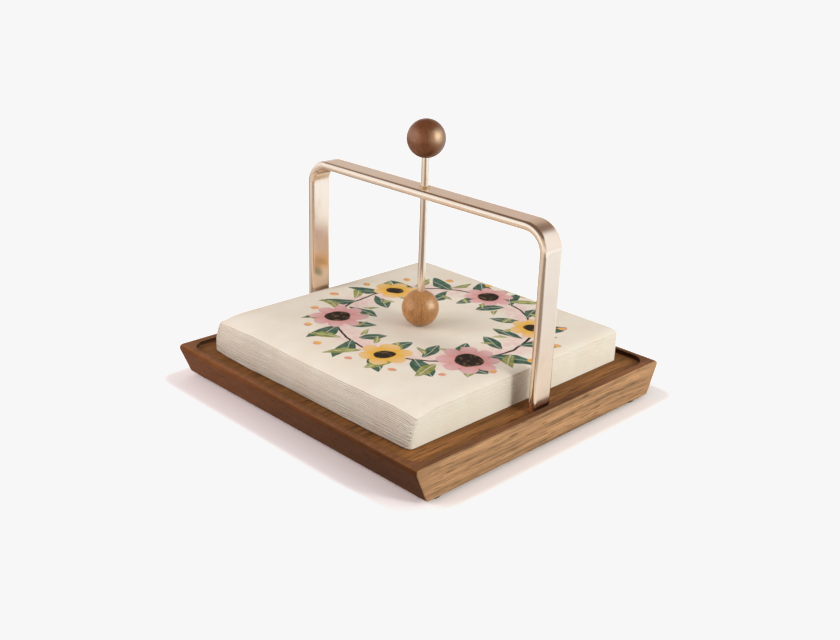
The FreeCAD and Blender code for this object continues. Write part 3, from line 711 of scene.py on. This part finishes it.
def folded_sheet(name, number, stack):
    """One square sheet folded twice to a quarter, filling its node's box: the first fold lies
    along +Y and the last along +X, so the open edges are those towards -X and -Y."""
    node = "napkin_top" if number == NAPKIN_COUNT - 1 else f"napkin_{number + 1:02d}"
    low, high = settled_box(node, number)
    stack_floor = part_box("napkin_01")[0].z
    rise = number / (NAPKIN_COUNT - 1)
    chance = random.Random(100 + number)
    ply, gap = stack.ply, (high.z - low.z) / 4
    middle = (low.z + high.z) / 2
    fold_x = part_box("napkin_01")[1].x + chance.uniform(-0.02, 0.02) * MM - 1.5 * gap - ply / 2
    rear_y = high.y - gap / 2 - ply / 2
    fray = stack.fray * (0.28 + 0.72 * (1 - rise))
    # Each layer's offset, phase, wave and crinkle
    layers = [(chance.uniform(-1, 0.3) * fray, chance.uniform(0, math.tau), chance.uniform(30, 55),
               chance.uniform(130, 260)) for _ in range(4)]

    def front_edge(x, layer):
        """How far the open edge of a layer lies out along -Y at x."""
        across = max(-1.0, min(1.0, x / EDGE_HALF / MM))
        bulge = (stack.bow * (1 - across ** 6)
                 + stack.bulge * math.exp(-((x / MM - BULGE_AT) / BULGE_WIDTH) ** 2))
        offset, phase, wave, crinkle = layers[layer]
        ripple = (0.3 * math.sin(x * wave + phase) + 0.35 * math.sin(x * crinkle + 3 * phase))
        return bulge * (1 - rise) ** 1.3 + offset + fray * ripple

    def left_edge(y, layer):
        """How far the open edge of a layer lies out along -X at y."""
        offset, phase, wave, _ = layers[layer]
        return 0.6 * offset + 0.3 * fray * math.sin(y * wave + 2 * phase)

    def worn_corner(x, y):
        """Rounds the two corners at the open edge along -Y."""
        side = math.copysign(1.0, x)
        bound = high.x if x > 0 else -low.x
        inward = (stack.corner - (bound - abs(x)), stack.corner - (y - low.y))
        if min(inward) <= 0:
            return x, y
        shrink = 1 - max(inward) / math.hypot(*inward)
        return x - side * inward[0] * shrink, y + inward[1] * shrink

    def place(kind, along, fold, y):
        """The point of the sheet at a step across it and a step along it."""
        arm = (1.5 - fold) * gap
        if y is None:
            turn = math.pi * fold
            arm = gap + gap / 2 * math.cos(turn)
            y = rear_y + gap / 2 * math.sin(turn)
        upper = kind == "top" or (kind == "turn" and along < math.pi / 2)
        layer = (0 if upper else 2) + (1 if fold > 0.5 else 0)
        if kind == "turn":
            cosine, sine = squashed(math.cos(along), math.sin(along))
            x, z = fold_x + arm * sine, middle + arm * cosine
        else:
            x, z = along, middle + (arm if upper else -arm)
        y -= front_edge(x, layer) * max(0.0, (rear_y - y) / (rear_y - low.y)) ** 6
        x -= left_edge(y, layer) * max(0.0, (fold_x - x) / (fold_x - low.x)) ** 6
        inside = {"open": y - low.y, "left": x - low.x, "fold": high.x - x}
        droop = sum(amount * close_to(inside[edge], reach) ** power
                    * (unevenness(x, y) if edge == "open" else 1)
                    for edge, (reach, power, amount) in DROOPS.items())
        droop = stack.droop * min(MOST_DROOP, droop)
        lift = max(height * close_to(inside[edge], reach)
                   for edge, (height, reach) in LIFTS.items())
        z = stack_floor + lift * (1 - rise) + (z - stack_floor) * (1 - droop)
        return *worn_corner(x, y), z

    across_steps = [("top", x) for x in run_places(low.x, fold_x)]
    across_steps += [("turn", math.pi * step / FOLD_STEPS) for step in range(1, FOLD_STEPS)]
    across_steps += [("under", x) for x in reversed(run_places(low.x, fold_x))]
    along_steps = [(0.0, y) for y in run_places(low.y, rear_y)]
    along_steps += [(step / INNER_FOLD_STEPS, None) for step in range(1, INNER_FOLD_STEPS)]
    along_steps += [(1.0, y) for y in reversed(run_places(low.y, rear_y))]
    points = [place(kind, along, fold, y)
              for kind, along in across_steps for fold, y in along_steps]
    piece = grid_piece(name, points, len(along_steps))
    for polygon in piece.data.polygons:
        polygon.use_smooth = True
    body = piece.modifiers.new("ply", "SOLIDIFY")
    body.thickness = ply
    body.offset = 0.0
    piece.modifiers.new("flat_runs", "WEIGHTED_NORMAL").weight = 90
    return piece, node


# ---- operators

class NAPKIN_OT_tray(bpy.types.Operator):
    """Stain and lacquer the wood tray"""
    bl_idname = "napkin_holder.tray"
    bl_label = "Tray"

    def execute(self, context):
        finish(tray_wood(context.scene.napkin_tray), "tray")
        return {"FINISHED"}


class NAPKIN_OT_feet(bpy.types.Operator):
    """Finish the four rubber feet"""
    bl_idname = "napkin_holder.feet"
    bl_label = "Feet"

    def execute(self, context):
        finish(foot_rubber(), "foot_front_left", "foot_front_right", "foot_rear_left",
               "foot_rear_right")
        return {"FINISHED"}


class NAPKIN_OT_arch(bpy.types.Operator):
    """Plate the flat bar of the arch"""
    bl_idname = "napkin_holder.arch"
    bl_label = "Arch"

    def execute(self, context):
        metal = context.scene.napkin_metal
        finish(plated_metal("champagne_metal", metal.arch, polished=metal.satin,
                            dull=metal.satin + 0.08, smear=45.0), "arch")
        return {"FINISHED"}


class NAPKIN_OT_leg_fixings(bpy.types.Operator):
    """Finish the screws and washers that hold the legs"""
    bl_idname = "napkin_holder.leg_fixings"
    bl_label = "Leg fixings"

    def execute(self, context):
        finish(plated_metal("screw_steel", context.scene.napkin_metal.steel, polished=0.28,
                            dull=0.45, smear=400.0, marks=0.02 * MM),
               "leg_screw_left", "leg_screw_right", "leg_washer_left", "leg_washer_right")
        return {"FINISHED"}


class NAPKIN_OT_slider(bpy.types.Operator):
    """Finish the rod, its guide sleeve and the threaded insert"""
    bl_idname = "napkin_holder.slider"
    bl_label = "Rod and sleeve"

    def execute(self, context):
        metal = context.scene.napkin_metal
        finish(plated_metal("rod_metal", metal.rod, polished=metal.polish,
                            dull=metal.polish + 0.07, smear=90.0), "rod")
        finish(plated_metal("sleeve_brass", metal.brass, polished=0.18, dull=0.30, smear=200.0),
               "guide_sleeve", "top_ball_insert")
        return {"FINISHED"}


class NAPKIN_OT_balls(bpy.types.Operator):
    """Lacquer the knob and the weight"""
    bl_idname = "napkin_holder.balls"
    bl_label = "Balls"

    def execute(self, context):
        balls = context.scene.napkin_balls
        finish(ball_wood("dark_ball_wood", balls.knob, dark=0.60, shine=1.0,
                         tint=(1.0, 0.68, 0.42), settings=balls), "top_ball")
        finish(ball_wood("light_ball_wood", balls.weight, dark=0.07, shine=0.14,
                         tint=(1.0, 0.80, 0.62), settings=balls), "bottom_ball")
        return {"FINISHED"}


class NAPKIN_OT_napkins(bpy.types.Operator):
    """Fold and stack the paper napkins, the top one free to slide out"""
    bl_idname = "napkin_holder.napkins"
    bl_label = "Napkins"

    def execute(self, context):
        stack, inks = context.scene.napkin_stack, context.scene.napkin_print
        papers = {slot: napkin_paper(slot, stack, inks)
                  for slot in ("napkin_paper", "napkin_print")}
        for number in range(NAPKIN_COUNT):
            is_top = number == NAPKIN_COUNT - 1
            name = "sheet_top" if is_top else f"sheet_{number + 1:02d}"
            piece, node = folded_sheet(name, number, stack)
            slot = "napkin_print" if is_top else "napkin_paper"
            finish(papers[slot], piece)
            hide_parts(node)
            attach(piece, "top_napkin" if is_top else "base")
        return {"FINISHED"}


class NAPKIN_OT_stage(bpy.types.Operator):
    """Set up the floor, the lights and the camera"""
    bl_idname = "napkin_holder.stage"
    bl_label = "Stage"

    def execute(self, context):
        studio = context.scene.napkin_studio
        make_floor(studio)
        make_lights(studio)
        make_surroundings(studio)
        make_exposure(studio)
        make_camera(studio)
        return {"FINISHED"}


# ---- stage

# Tones are written as where they start and end, and what they change to
FLOOR_BOUNCE = (0.46, 0.46, 0.46)  # the floor's colour for the light that it throws back
MIRRORED_FLOOR = ((0.52, 0.50, 0.47), (-0.30, 0.10, (0.74, 0.73, 0.71)),
                  (0.13, 0.30, (0.65, 0.71, 0.79)), (0.36, 0.55, (0.50, 0.54, 0.60)))
MIRRORED_DIM = (0.24, 0.21, 0.19)
SHOWN_GLOW = ((6.5 * MM, 14 * MM, (0.40, 0.39, 0.39)), (0.2, 1.5, (0.55, 0.55, 0.55)))
LEFT_END_GLOW = 0.7
REAR_RIGHT_GLOW = (0.22, 0.28, 0.33)
FAR_GLOW = (0.5, 1.2, (0.62, 0.66, 0.72))
MIRRORED_WALLS = ((0.92, 0.92, 0.92), (0.0, 0.35, (0.60, 0.51, 0.45)))
MIRRORED_SIDES = (1.00, 1.08, 1.18)
MIRRORED_OVERHEAD = (0.56, 0.68, (0.17, 0.12, 0.09))
BLACK, WHITE = (0.0, 0.0, 0.0), (1.0, 1.0, 1.0)


def from_angles(around, above):
    """The direction towards a place seen from the holder, with 0 round meaning -Y."""
    return Vector((math.sin(around) * math.cos(above), -math.cos(around) * math.cos(above),
                   math.sin(above)))


def floor_paper(studio):
    """Pale paper, with other tones for the light it throws back and for what metal mirrors."""
    material, graph, shader = new_material("floor_paper")
    point = place_of(graph)
    rays = graph.add("ShaderNodeLightPath").outputs
    towards, across = (graph.vector("DOT_PRODUCT", point, from_angles(direction, 0.0))
                       for direction in (studio.around, studio.around + math.pi / 2))
    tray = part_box("tray")[1]
    beyond = graph.vector("SUBTRACT", graph.vector("ABSOLUTE", point), (tray.x, tray.x, 0.0))
    away = graph.vector("LENGTH", graph.vector("MAXIMUM", beyond, BLACK))

    fibre = graph.noise(point, 700.0, detail=3.0, roughness=0.6)
    paper = graph.mix(fibre, tinted(studio.floor, 0.99), studio.floor)
    paper = graph.mix(rays["Is Diffuse Ray"], paper, FLOOR_BOUNCE)
    paper = graph.mix(rays["Is Glossy Ray"], paper, graph.tones(across, *MIRRORED_FLOOR))
    # Polished metal mirrors two dim parts of the studio: where the camera stands, and behind
    off_middle = graph.absolute(graph.minus(across, 0.03))
    dim = graph.times(graph.span(towards, 0.13, 0.20),
                      graph.span(off_middle, 0.14, 0.26, 1.0, 0.0))
    rear_left = graph.times(graph.span(towards, -0.18, -0.06, 1.0, 0.0),
                            graph.span(across, -0.04, 0.06, 1.0, 0.0))
    dim = graph.times(graph.math("MAXIMUM", dim, rear_left), rays["Is Glossy Ray"])
    paper = graph.mix(dim, paper, MIRRORED_DIM)

    # The floor is lit up to plain white beyond the tray's soft shadow
    shown = graph.tones(away, studio.shade, *SHOWN_GLOW)
    # Metal also mirrors it lit up before the left soft box, behind the tray and far away
    left_end = graph.span(across, -0.75, -0.52, LEFT_END_GLOW, 0.0)
    rear_right = graph.times(graph.span(towards, -0.02, 0.015, 1.0, 0.0),
                             graph.span(across, 0.07, 0.14))
    lit = graph.mix(rear_right, graph.combine(left_end, left_end, left_end), REAR_RIGHT_GLOW)
    lit = graph.mix(rays["Is Glossy Ray"], BLACK, graph.tones(away, lit, FAR_GLOW))
    graph.fill(shader, Base_Color=paper, Roughness=0.9, Specular_IOR_Level=0.0,
               Emission_Color=graph.mix(rays["Is Camera Ray"], lit, shown), Emission_Strength=1.0)
    return material


def make_floor(studio):
    """A wide plain floor of pale paper."""
    half, steps = 6.0, 12
    places = [half * (2 * step / steps - 1) for step in range(steps + 1)]
    floor = grid_piece("floor", [(x, y, 0.0) for x in places for y in places], steps + 1)
    finish(floor_paper(studio), floor)


def make_soft_box(name, power, box, around, mirrored_by=None):
    """A soft box facing the holder: it only lights things, or one collection only mirrors it."""
    lamp = bpy.data.lights.new(name, "AREA")
    lamp.shape = "RECTANGLE"
    (lamp.size, lamp.size_y), lamp.color, turn, distance, height = box
    lamp.energy = power
    piece = new_piece(name, lamp)
    place = from_angles(around + math.radians(turn), 0.0) * distance
    place.z = height
    piece.rotation_mode = "QUATERNION"
    piece.rotation_quaternion = place.to_track_quat("Z", "Y")
    piece.location = place
    piece.visible_camera = False
    piece.visible_glossy = mirrored_by is not None
    piece.visible_diffuse = mirrored_by is None
    piece.light_linking.receiver_collection = mirrored_by


# The soft boxes: size, colour, turn from the camera in degrees, distance and height
SOFT_BOXES = {
    "right": ((1.00, 0.72), (0.97, 1.03, 1.00), 72.0, 1.0, 0.41),
    "left": ((1.00, 0.80), (1.03, 0.99, 1.02), -74.0, 1.1, 0.45),
    "core": ((0.20, 0.20), (0.97, 1.03, 1.00), 56.0, 1.0, 0.41),
}
LEFT_SHEEN = 0.30  # strength of the left sheen against the right one


def make_lights(studio):
    """A soft box on each side, also mirrored by the balls alone, and a small one that draws
    clear shadows."""
    balls = bpy.data.collections.new("lacquered_balls")
    for node in ("top_ball", "bottom_ball"):
        balls.objects.link(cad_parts[node])
    for side, power, sheen in (("right", studio.key, studio.sheen),
                               ("left", studio.fill, LEFT_SHEEN * studio.sheen)):
        make_soft_box(f"{side}_box", power, SOFT_BOXES[side], studio.around)
        make_soft_box(f"{side}_sheen", sheen, SOFT_BOXES[side], studio.around, balls)
    make_soft_box("core_box", studio.core, SOFT_BOXES["core"], studio.around)


def make_surroundings(studio):
    """White surroundings, mirrored darker overhead."""
    world = bpy.data.worlds.new("surroundings")
    bpy.context.scene.world = world
    world.use_nodes = True
    graph = Graph(world.node_tree)
    direction = graph.add("ShaderNodeTexCoord").outputs["Generated"]
    height = graph.separate(direction)[2]
    even = graph.find("BACKGROUND")
    graph.fill(even, Color=WHITE,
               Strength=graph.span(height, 0.0, 0.5, 0.25 * studio.sky, studio.sky))

    right = from_angles(studio.around + math.pi / 2, 0.0)
    sideways = graph.absolute(graph.vector("DOT_PRODUCT", direction, right))
    sides = graph.times(graph.span(sideways, 0.60, 0.74), graph.span(height, 0.60, 0.72, 1.0, 0.0))
    walls = graph.mix(sides, graph.tones(height, *MIRRORED_WALLS), MIRRORED_SIDES)
    rays = graph.add("ShaderNodeLightPath").outputs
    seen = even.outputs[0]
    for ray, tone in (("Is Glossy Ray", graph.tones(height, walls, MIRRORED_OVERHEAD)),
                      ("Is Camera Ray", WHITE)):
        background = graph.fill(graph.add("ShaderNodeBackground"), Color=tone)[0]
        seen = graph.feed(graph.add("ShaderNodeMixShader"), rays[ray], seen, background)[0]
    graph.fill(graph.find("OUTPUT_WORLD"), Surface=seen)


def make_exposure(studio):
    """Plain display of the colours, with every brightness beyond white held there."""
    view = bpy.context.scene.view_settings
    view.view_transform = "Standard"
    view.use_curve_mapping = True
    view.curve_mapping.extend = "HORIZONTAL"
    view.curve_mapping.curves[3].points[-1].location = (1.0, studio.white)
    view.curve_mapping.update()


def make_camera(studio):
    """The camera, looking down at the near corner."""
    camera = bpy.data.cameras.new("camera")
    camera.lens = studio.lens
    camera.sensor_width = 36.0
    camera.sensor_fit = "HORIZONTAL"
    piece = new_piece("camera", camera)
    back = from_angles(studio.around, studio.above)
    right = Vector((math.cos(studio.around), math.sin(studio.around), 0.0))
    up = back.cross(right)
    cosine, sine = math.cos(studio.roll), math.sin(studio.roll)
    matrix = Matrix((right * cosine + up * sine, up * cosine - right * sine, back))
    matrix = matrix.transposed().to_4x4()
    matrix.translation = Vector(studio.place)
    piece.matrix_world = matrix
    bpy.context.scene.camera = piece


# ---- panel and registration

OPERATORS = (NAPKIN_OT_tray, NAPKIN_OT_feet, NAPKIN_OT_arch, NAPKIN_OT_leg_fixings,
             NAPKIN_OT_slider, NAPKIN_OT_balls, NAPKIN_OT_napkins, NAPKIN_OT_stage)
SETTINGS = {"napkin_tray": TrayFinish, "napkin_metal": MetalFinish, "napkin_balls": BallFinish,
            "napkin_stack": NapkinStack, "napkin_print": PrintDesign, "napkin_studio": StudioSetup}


class VIEW3D_PT_napkin_holder(bpy.types.Panel):
    """Settings and steps of the napkin holder"""
    bl_label = "Napkin Holder"
    bl_space_type = "VIEW_3D"
    bl_region_type = "UI"
    bl_category = "Napkin Holder"

    def draw(self, context):
        for name, group in SETTINGS.items():
            box = self.layout.box()
            box.label(text=group.__doc__)
            for setting in group.__annotations__:
                box.prop(getattr(context.scene, name), setting)
        for operator in OPERATORS:
            self.layout.operator(operator.bl_idname)


CLASSES = (*SETTINGS.values(), *OPERATORS, VIEW3D_PT_napkin_holder)


def register():
    """Adds the settings, the steps and the panel."""
    for kind in CLASSES:
        bpy.utils.register_class(kind)
    for name, group in SETTINGS.items():
        setattr(bpy.types.Scene, name, PointerProperty(type=group))


def unregister():
    """Takes them away again."""
    for name in SETTINGS:
        delattr(bpy.types.Scene, name)
    for kind in reversed(CLASSES):
        bpy.utils.unregister_class(kind)


def main():
    """Registers the add-on and makes every piece."""
    register()
    for operator in OPERATORS:
        step = operator.bl_idname.split(".")[1]
        getattr(bpy.ops.napkin_holder, step)()


if __name__ == "__main__":
    main()
